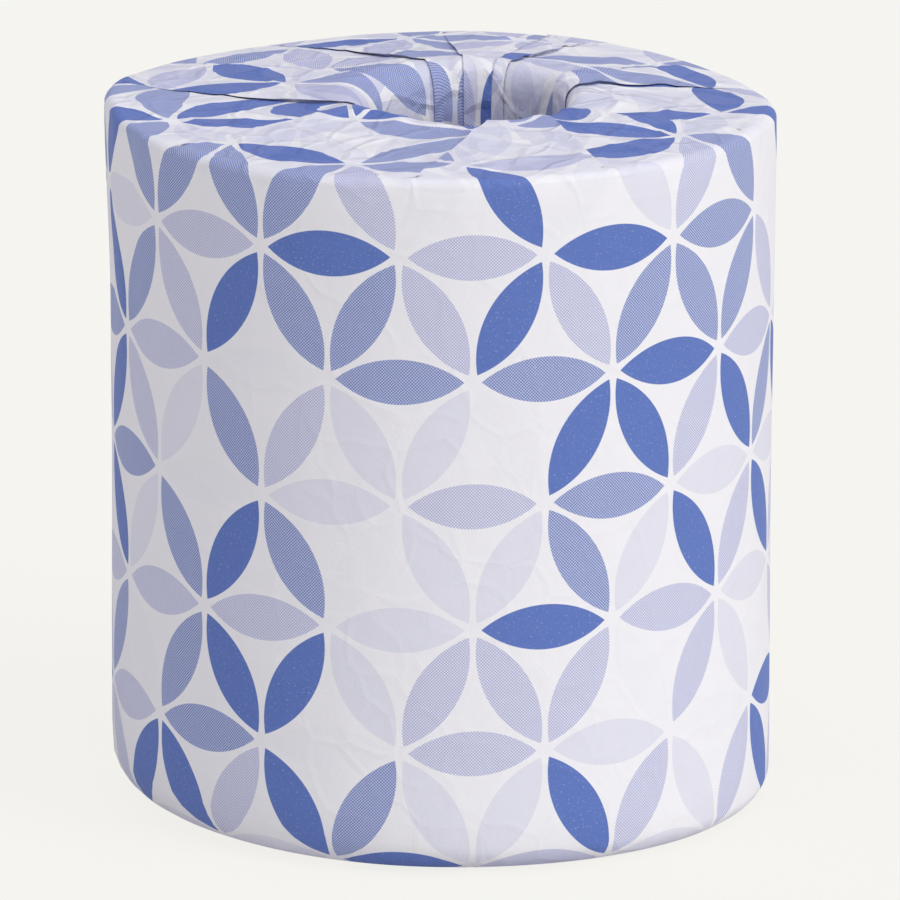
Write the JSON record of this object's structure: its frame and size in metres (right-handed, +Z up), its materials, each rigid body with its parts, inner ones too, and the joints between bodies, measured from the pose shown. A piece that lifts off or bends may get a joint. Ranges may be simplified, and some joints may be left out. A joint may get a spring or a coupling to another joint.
{
  "type": "wrapped toilet paper roll",
  "caption": "Bath tissue roll standing on end in a printed paper wrapper, pleated over both ends and tucked into the open cardboard core.",
  "frame": {"origin": "middle of the end that the roll stands on, on the wrapped roll's axis", "axes": "+Z up along the roll, -Y towards the side that faces the viewer, +X to the viewer's right"},
  "size_m": [0.1068, 0.1068, 0.1169],
  "materials": {
    "wrapper": "thin matte paper printed with blue petals",
    "tissue": "soft matte tissue",
    "core": "plain grey-brown board, matte"
  },
  "bodies": {
    "root": {"wrapper": "wrapper", "tissue_roll": "tissue", "core_tube": "core"}
  },
  "joints": []
}
